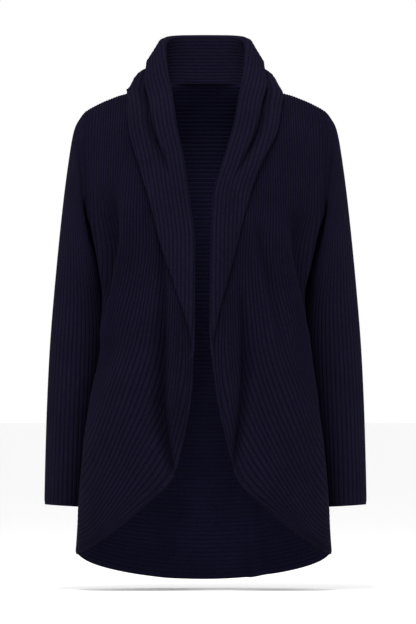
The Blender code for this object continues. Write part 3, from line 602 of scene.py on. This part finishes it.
fronts = {side: front(side) for side in (-1, 1)}

# %% [markdown]
# ## The back
#
# The back is one wide panel, longer than the fronts, with a hem that sags in the middle. It is
# knitted sideways, so its ribs run across the body: they show inside the collar and below the fronts
# as level lines that follow the hem. Its grid therefore has its many points down each column.

# %% Knit the back
BACK_SIDE = table(
    "edge_drop edge_turn",
    (25.6, 114.0), (39, 111.8), (60, 110.0), (88, 109.6), (116, 110.2), (144, 111.4), (170, 109.9),
    (191, 104.4), (204, 96.0), (268, 96.0), (360, 96.0), (480, 96.0), (620, 96.0), (765, 96.0))
SIDE_HEM, BACK_HEM_SAG, HEM_POWER = 765, 48, 0.62
BACK_ROWS, BACK_COLUMNS = 780, 61
SECTIONS_A_ROW, BACK_NECK_POINTS = 12, 60
BACK_RIB_PITCH = 7.2
HEM_PLAIN_TO, HEM_RIBBED_FROM = 2.0, 5.0


def between_rows(rows, at):
    """Rows of points read smoothly at any place between the given ones."""
    last = len(rows) - 1
    i = np.clip(np.floor(at).astype(int), 0, last - 1)
    t = (at - i)[:, None, None]
    before, a, b, after = (rows[np.clip(i + n, 0, last)] for n in (-1, 0, 1, 2))
    into, leaving = (b - before) / 2, (after - a) / 2
    return (a * (1 + 2 * t) * (1 - t) ** 2 + b * t * t * (3 - 2 * t)
            + into * t * (1 - t) ** 2 - leaving * t * t * (1 - t))


def back_section(side, edge_drop, edge_turn):
    """Half a section across the back, from the armhole or side seam to the centre back."""
    turn = np.linspace(max(edge_turn, SIDE_SEAM + SIDE_SEAM_ROOM), 180, FINE)
    across = np.sin(np.radians(turn)) ** BODY_SQUARENESS
    hem = SIDE_HEM + BACK_HEM_SAG * (1 - across ** 2) ** HEM_POWER
    long = below_shoulder(turn, hem)
    share = max(below_shoulder(turn[0], edge_drop), 0) / long[0]
    return body(side, turn, long * share)


def back():
    """The back panel, seen from behind: from the wearer's left to the wearer's right."""
    armhole_ends = int(np.sum(BACK_SIDE["edge_turn"] > SIDE_SEAM)) * SECTIONS_A_ROW
    places = np.arange(len(BACK_SIDE["edge_drop"]))
    fine = np.linspace(0, places[-1], len(places) * SECTIONS_A_ROW + 1)
    edge_drop, edge_turn = (read({"at": places, "v": v}, "v", fine) for v in BACK_SIDE.values())
    rows = []
    for drop, turn in zip(edge_drop, edge_turn):
        left, right = back_section(1, drop, turn), back_section(-1, drop, turn)
        rows.append(even(np.concatenate([left, right[::-1][1:]]), BACK_COLUMNS))
    rows = np.array(rows)
    left = back_section(1, BACK_SIDE["edge_drop"][0], BACK_SIDE["edge_turn"][0])
    neck = neckline(1, np.linspace(1, 0, BACK_NECK_POINTS))
    half = np.concatenate([left[left[:, 0] > NECK_ACROSS], neck])
    top = even(half, BACK_COLUMNS // 2 + 1)
    rows[0] = np.concatenate([top, top[::-1][1:] * np.array([-1, 1, 1])])
    rows[0, :, 1] += SEAM_GAP / 2
    run = lengths(rows[:, BACK_COLUMNS // 2])
    at = np.interp(np.linspace(0, run[-1], BACK_ROWS), run, np.arange(len(rows)))
    mid = between_rows(rows, at)
    for edge in (0, -1):
        mid[at >= armhole_ends, edge, 1] = SIDE_SEAM_BACK + SEAM_GAP / 2
    mid = folded("back", mid, facing(mid))
    out = facing(mid)
    down = down_the_rows(mid)
    from_hem = down[-1] - down
    middle = down[:, BACK_COLUMNS // 2:BACK_COLUMNS // 2 + 1]
    phase = np.broadcast_to(middle / BACK_RIB_PITCH, mid.shape[:2]).copy()
    ribbed = smooth(HEM_PLAIN_TO, HEM_RIBBED_FROM, from_hem)
    piece = knit("back", mid, out, phase, across_the_columns(mid), ribbed)
    armhole = mid[at <= armhole_ends + TINY]
    return piece, {1: armhole[:, 0], -1: armhole[:, -1]}, mid


back_piece, back_edges, back_mid = back()

# %% [markdown]
# ## The sleeves
#
# A dropped sleeve leaves the armhole sideways and turns down the arm. It is long and straight, with
# a narrow plain edge at the cuff. Its rings come from a table of the outermost and innermost points,
# and blend from the armhole's own outline into ovals. The ribs keep their real pitch all the way:
# they run parallel to the top of the arm, and run off at the seam under the arm where the sleeve
# narrows, as the fashioning of a real knitted sleeve does.

# %% Knit the two sleeves
SLEEVE = table(
    "ring outer_across outer_drop outer_back inner_across inner_drop inner_back middle_back deep "
    "like_armhole",
    (1, 206.0, 38, 0, 182.4, 211, 18, -1, 100.4, 1.00),
    (2, 217.9, 63, 3, 188.7, 215.7, 16, -0.5, 110.8, 0.61),
    (3, 229.0, 130, 8, 179.3, 261.4, 13, 1.5, 104, 0.39),
    (4, 239.0, 212, 13, 168.0, 316, 14, 10, 103, 0.10),
    (5, 249.5, 318, 19, 165.0, 380, 19, 19, 97, 0.00),
    (6, 257.5, 415, 27, 172.0, 450, 27, 27, 94, 0.00),
    (7, 262.5, 510, 36, 183.0, 530, 36, 36, 92, 0.00),
    (8, 265.5, 600, 45, 193.0, 612, 45, 45, 91, 0.00),
    (9, 267.5, 683, 53, 201.0, 687, 53, 53, 90, 0.00))
SLEEVE_COLUMNS, SLEEVE_ROWS = 361, 121
SLEEVE_RIB_PITCH = 7.7
CUFF_EDGE, CUFF_PLAIN_SHARE = 5.0, 0.4
CUFF_LINE_DEEP, CUFF_LINE_WIDTH = 0.8, 1.3
ARMHOLE_SEAM = 0.45


def sleeve(side):
    """One sleeve: rings that leave the armhole sideways and turn down the arm."""
    name = "sleeve_right" if side < 0 else "sleeve_left"
    front_edge, back_edge = fronts[side][1], back_edges[side]
    first, second = (front_edge, back_edge) if side < 0 else (back_edge, front_edge)
    ring = even(np.concatenate([first, second[::-1][1:]]), SLEEVE_COLUMNS)[:-1]
    count = len(ring)
    tip, pit = ring[0], ring[np.argmin(ring[:, 2])]
    long = tip - pit
    place_along = 2 * (ring - pit) @ long / (long @ long) - 1
    rings = [ring + np.array([side * ARMHOLE_SEAM, 0, 0])]
    turn = np.linspace(0, 2 * np.pi, FINE)
    for n in range(len(SLEEVE["ring"])):
        row = {key: column[n] for key, column in SLEEVE.items()}
        far = np.array([side * row["outer_across"], row["outer_back"], -row["outer_drop"]])
        near = np.array([side * row["inner_across"], row["inner_back"], -row["inner_drop"]])
        oval = (far + near) / 2 + np.cos(turn)[:, None] * (far - near) / 2
        aside = row["middle_back"] - (row["outer_back"] + row["inner_back"]) / 2
        oval[:, 1] += np.sin(turn) * side * row["deep"] / 2 + np.sin(turn) ** 2 * aside
        oval = even(oval, count + 1)[:-1]
        moved = ((1 + place_along)[:, None] / 2 * (far - tip)
                 + (1 - place_along)[:, None] / 2 * (near - pit))
        like = row["like_armhole"]
        puffed = (ring + moved) * np.array([1, row["deep"] / SLEEVE["deep"][0], 1])
        rings.append(like * puffed + (1 - like) * oval)
    rings = np.roll(np.array(rings), count // 2, axis=1)
    rings = np.concatenate([rings, rings[:, :1]], 1)
    top = count // 2
    run = lengths(rings[:, top])
    at = np.interp(np.linspace(0, run[-1], SLEEVE_ROWS), run, np.arange(len(rings)))
    mid = between_rows(rings, at)
    out = facing(mid, closed=True)
    around = across_the_columns(mid)
    from_top = around - around[:, top:top + 1]
    phase = from_top / SLEEVE_RIB_PITCH + CREST
    along = down_the_rows(mid)
    from_cuff = along[-1] - along
    ribbed = smooth(CUFF_EDGE * CUFF_PLAIN_SHARE, CUFF_EDGE, from_cuff)
    edge_line = CUFF_LINE_DEEP * np.exp(-((from_cuff - CUFF_EDGE) / CUFF_LINE_WIDTH) ** 2)
    mid = mid - out * edge_line[..., None]
    return knit(name, mid, out, phase, along, ribbed, closed=True), mid


sleeves = {side: sleeve(side) for side in (-1, 1)}

# %% [markdown]
# ## The shawl collar
#
# The collar is one deep band, knitted lengthways. It stands up behind the neck, rolls over, and falls
# in soft rolls over the shoulders, then runs on as two lapels that are turned back over the fronts
# and taper into the front edges. Its sections come from a table of the roll's crest and the free
# edge, by their place along the neck seam: 0 behind the neck, 1 at its side, 2 where the lapel ends.
# Two creases are pressed into the fall, each at a width from the crest, with the cloth puffed up
# between them. The ribs follow the roll line at their real pitch and run off at the free edge.

# %% The collar's measures
COLLAR = table(
    "seam right_roll left_roll roll_y roll_z right_edge left_edge edge_y edge_z radius",
    (0.00, 0, 0, 84, 100.0, 0, 0, 88, -4, 6.0),
    (0.35, 36, 36, 79, 99.6, 52, 52, 80, -3, 6.0),
    (0.70, 59, 59, 56, 97.6, 98, 96, 47, -3, 6.0),
    (0.90, 68, 68, 30, 93.5, 122, 119, 25, 3, 6.0),
    (1.00, 71, 71, 4, 84.0, 132, 127, 3, 9.5, 6.0),
    (1.03, 66, 67, -32, 46.0, 135, 130, -20, 2, 6.0),
    (1.08, 56, 57, -68, -3.0, 134, 128, -46, -16, 6.0),
    (1.16, 49, 48, -101, -52.0, 127, 119, -92, -60, 6.0),
    (1.29, 38, 33, -127, -105.0, 113, 94, -124, -111, 6.0),
    (1.46, 27, 13, -135, -178.0, 92, 70, -131, -180, 6.0),
    (1.60, 18, 11, -137, -246.0, 74, 54, -134.5, -247, 5.5),
    (1.75, 17, 11, -138, -314.0, 50, 37, -136, -315, 5.0),
    (1.88, 16.5, 11.5, -138, -372.0, 30, 23, -138, -372, 4.0),
    (1.96, 16.6, 12.2, -136.8, -408.0, 21, 16.5, -137, -408, 2.2),
    (2.02, 19.0, 15.0, -134, -435.0, 20.4, 16.4, -134.2, -435, 1.2),
    (2.08, 24.0, 20.5, -129, -461.0, 25.2, 21.7, -129.2, -461, 0.8))
END_TUCKS_FROM, END_TUCKS_ASIDE, END_TUCKS_BACK = 1.96, 6.0, 4.5
ROLLS = table(
    "seam first first_deep second second_deep puffed",
    (0.50, 50, 0.0, 84, 0.0, 0.0),
    (0.85, 50, 7.0, 84, 6.0, 0.0),
    (1.00, 48, 12.0, 83, 10.0, 0.5),
    (1.06, 47, 15.0, 82, 8.0, 2.5),
    (1.12, 45, 16.0, 80, 3.0, 4.0),
    (1.18, 42, 15.0, 78, 0.0, 3.5),
    (1.27, 37, 11.0, 76, 0.0, 2.0),
    (1.40, 28, 0.0, 74, 0.0, 0.0))
CREASE_INSIDE, CREASE_OUTSIDE, ROLL_WIDTH, ROLL_BEFORE_CREASE = 3.5, 10.0, 14.0, 1.3
FALL_BOW, BOW_NEEDS = 7.0, 70
NECK_SEAM = 0.5
STAND_POINTS, FALL_POINTS = 81, 121
COLLAR_ROWS = 101
STAND_PITCH, FALL_PITCH = 5.9, 6.7
COLLAR_PLAIN_TO, COLLAR_RIBBED_FROM, AWAY_FROM_EDGES = 1.5, 4.0, 99.0
print("collar stands", COLLAR["roll_z"][0], "mm above the side of the neck")


# %% The sections of the collar
def collar_sections(side, seam):
    """Sections of the collar: from the seam up to the crest of the roll, and on to the free edge."""
    which = "right" if side < 0 else "left"
    base = neckline(side, seam)
    lean = read(BODY, "lean", -base[..., 2])
    tucked = smooth(END_TUCKS_FROM, COLLAR["seam"][-1], seam)[:, None]
    base = base + tucked * np.array([side * END_TUCKS_ASIDE, END_TUCKS_BACK, 0])
    crest = np.stack([side * read(COLLAR, which + "_roll", seam) + lean,
                      read(COLLAR, "roll_y", seam), read(COLLAR, "roll_z", seam)], -1)
    edge = np.stack([side * read(COLLAR, which + "_edge", seam) + lean,
                     read(COLLAR, "edge_y", seam), read(COLLAR, "edge_z", seam)], -1)
    lift = unit(crest - (base + edge) / 2)
    away = edge - base
    away = unit(away - lift * np.sum(away * lift, -1, keepdims=True))
    radius = read(COLLAR, "radius", seam)[..., None]
    start = crest - (lift + away) * radius
    bend = start - lift * np.linalg.norm(start - base, axis=-1, keepdims=True) / 2
    base, bend, start, crest, edge, lift, away, radius = (
        v[:, None] for v in (base, bend, start, crest, edge, lift, away, radius))
    base = base + unit(bend - base) * NECK_SEAM
    t = np.linspace(0, 1, FINE // 4)[None, :, None]
    stand = base * (1 - t) ** 2 + 2 * bend * t * (1 - t) + start * t ** 2
    angle = t * np.pi / 2
    middle = crest - lift * radius
    rise = middle + radius * (lift * np.sin(angle) - away * np.cos(angle))
    turn_over = middle + radius * (lift * np.cos(angle) + away * np.sin(angle))
    fall_start = middle + away * radius
    reach = np.linalg.norm(edge - fall_start, axis=-1, keepdims=True)
    bow = fall_start - lift * reach / 2 + away * FALL_BOW * np.clip(reach / BOW_NEEDS, 0, 1)
    fall = fall_start * (1 - t) ** 2 + 2 * bow * t * (1 - t) + edge * t ** 2
    return np.concatenate([stand, rise[:, 1:]], 1), np.concatenate([turn_over, fall[:, 1:]], 1)


print("points of a rough section:", [part.shape[1] for part in collar_sections(1, np.array([0.0]))])


# %% Knit the collar
def collar_half(side):
    """Half of the collar's grid from the centre back to the lapel's end, with the phase of its ribs."""
    rough = np.linspace(0, COLLAR["seam"][-1], FINE)
    stand, fall = collar_sections(side, rough)
    run = (lengths(stand[:, -1]) + lengths(fall[:, -1])) / 2
    seam = np.interp(np.linspace(0, run[-1], COLLAR_ROWS), run, rough)
    stand, fall = collar_sections(side, seam)
    stand = np.array([even(path, STAND_POINTS) for path in stand])
    fall = np.array([even(path, FALL_POINTS) for path in fall])
    tall, width = across_the_columns(stand), across_the_columns(fall)
    pressed = np.zeros(width.shape)
    for which in ("first", "second"):
        past = width - read(ROLLS, which, seam)[:, None]
        crease = np.exp(-(past / np.where(past < 0, CREASE_INSIDE, CREASE_OUTSIDE)) ** 2)
        roll = np.exp(-((past + ROLL_BEFORE_CREASE * ROLL_WIDTH) / ROLL_WIDTH) ** 2)
        pressed += read(ROLLS, which + "_deep", seam)[:, None] * crease
        pressed -= read(ROLLS, "puffed", seam)[:, None] * roll
    grid = np.concatenate([stand, fall[:, 1:]], 1)
    pressed = np.concatenate([np.zeros(stand.shape[:2]), pressed[:, 1:]], 1)
    phase = np.concatenate([(tall - tall[:, -1:]) / STAND_PITCH, width[:, 1:] / FALL_PITCH], 1) + CREST
    from_edge = np.concatenate(
        [np.full(stand.shape[:2], AWAY_FROM_EDGES), (width[:, -1:] - width)[:, 1:]], 1)
    return grid, pressed, phase, from_edge


def collar():
    """The collar and both lapels in one band, with ribs along it from one lapel's end to the other's."""
    halves = collar_half(-1), collar_half(1)
    mid, pressed, phase, from_edge = (np.concatenate([a[::-1], b[1:]]) for a, b in zip(*halves))
    out = facing(mid)
    mid = mid - out * pressed[..., None]
    out = facing(mid)
    ribbed = smooth(COLLAR_PLAIN_TO, COLLAR_RIBBED_FROM, from_edge)
    return knit("collar", mid, out, phase, down_the_rows(mid), ribbed), mid


collar_piece, collar_mid = collar()

# %% [markdown]
# ## Put the pieces in the frame
#
# Each piece of knit stands for one node of the imported model, which it hides, and takes a finish of its
# own.
# All ride on the one body, as the garment has no joint.
# The wall of the back then gets a second, lighter copy of the finish on its inner face: painted light
# inside the opening.

# %% Each piece in place of its node
garment = {"back": back_piece, "front_right": fronts[-1][0], "front_left": fronts[1][0],
           "sleeve_right": sleeves[-1][0], "sleeve_left": sleeves[1][0], "collar": collar_piece}


for name, piece in garment.items():
    piece.data.materials.clear()
    piece.data.materials.append(FINISHES.get(name, BODY_KNIT))
    piece.name = name + "_cloth"
    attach(piece, "root")
    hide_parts(name)


# %% Paint light on the inside of the back
def paint_light_inside(piece, finish, count):
    """Puts a finish on the inner face of a wall, which is its first or its second count of faces."""
    mesh = piece.data
    mesh.materials.append(finish)
    start = 0 if mesh.polygons[count // 2].normal.y < 0 else count
    which = np.zeros(len(mesh.polygons), int)
    which[start:start + count] = 1
    mesh.polygons.foreach_set("material_index", which)
    # The faces counted here carry the painted light.
    print(piece.name, "shows its reverse on", which.sum(), "faces")


# Painted light: the inner face of the back takes a much lighter copy of the knit, which brightens the
# inside seen through the opening.
paint_light_inside(back_piece, BACK_INSIDE_PAINTED_LIGHT_KNIT, (BACK_ROWS - 1) * (BACK_COLUMNS - 1))

# %% [markdown]
# ## Floor, light and camera
#
# A catalogue picture of dark clothing is taken on white, from far away and level with the middle of
# the garment, so the outline keeps its true shape. Most of the light comes from the white room all
# round it, which leaves deep folds dark. A panel above the front lights the shoulders, one in front
# looks into the opening, and weak ones at the sides catch the turn of the sleeves. A pale floor just
# below the hem takes a faint shadow.

# %% The floor and its finish
FLOOR_DROP, FLOOR_SIZE, FLOOR_GLOW = 0.825, 60, 0.21
deselect()
bpy.ops.mesh.primitive_plane_add(size=FLOOR_SIZE, location=(0, 0, -FLOOR_DROP))
floor = bpy.context.object
floor.name = "floor"
paper = bpy.data.materials.new("matt_white_paper")
paper.use_nodes = True
matt = paper.node_tree.nodes["Principled BSDF"]
matt.inputs["Base Color"].default_value = linear("F4F4F4")
matt.inputs["Roughness"].default_value = 0.95
matt.inputs["Emission Color"].default_value = (1, 1, 1, 1)
matt.inputs["Emission Strength"].default_value = FLOOR_GLOW
floor.data.materials.append(paper)
print("floor", FLOOR_DROP, "m below the side of the neck")

# %% The white room
# It lights the garment softly from all round, and shows itself as plain white paper.
WORLD_LIGHT = 0.80
world = bpy.data.worlds.new("studio")
world.use_nodes = True
air = world.node_tree
seen = add(air, "ShaderNodeLightPath").outputs["Is Camera Ray"]
strength = add(air, "ShaderNodeMapRange", Value=seen, To_Min=WORLD_LIGHT, To_Max=1.0).outputs["Result"]
air.nodes["Background"].inputs["Color"].default_value = (1, 1, 1, 1)
air.links.new(strength, air.nodes["Background"].inputs["Strength"])
bpy.context.scene.world = world
print("room light:", WORLD_LIGHT)

# %% The lights
AIM = Vector((0.0042, 0, -0.3617))
LIGHTS = {
    "front_fill": ((0.1, -5.0, -0.1), 2.0, 24),
    "key_above": ((-0.3, -1.6, 2.5), 0.9, 80),
    "key_right": ((-2.9, -1.55, 0.5), 0.8, 9),
    "key_left": ((2.9, -1.55, 0.5), 0.8, 9),
    "rim_right": ((-2.2, 1.0, 0.2), 1.2, 6),
    "rim_left": ((2.2, 1.0, 0.2), 1.2, 6)}


def softbox(name, place, size, power):
    """A square area light at a place, turned to the garment. Size is in metres and power in watts."""
    deselect()
    bpy.ops.object.light_add(type="AREA", location=place)
    lamp = bpy.context.object
    lamp.name = name
    lamp.data.size = size
    lamp.data.energy = power
    lamp.rotation_euler = (Vector(place) - AIM).to_track_quat("Z", "Y").to_euler()


for name, light in LIGHTS.items():
    softbox(name, *light)
bpy.context.scene.view_settings.view_transform = "Standard"
print("lights:", ", ".join(LIGHTS))

# %% The camera
# It stands far away behind a long lens. The frame height is what it sees at the garment, in metres.
FRAME_HEIGHT, FAR, SENSOR = 1.040, 20.0, 36.0
camera_data = bpy.data.cameras.new("catalogue_camera")
camera_data.sensor_fit = "VERTICAL"
camera_data.sensor_height = SENSOR
camera_data.lens = SENSOR * FAR / FRAME_HEIGHT
camera_data.clip_end = 5 * FAR
camera = bpy.data.objects.new("catalogue_camera", camera_data)
bpy.context.collection.objects.link(camera)
camera.location = AIM - Vector((0, FAR, 0))
camera.rotation_euler = (np.pi / 2, 0, 0)
bpy.context.scene.camera = camera
print("camera sees", FRAME_HEIGHT, "m at the garment")
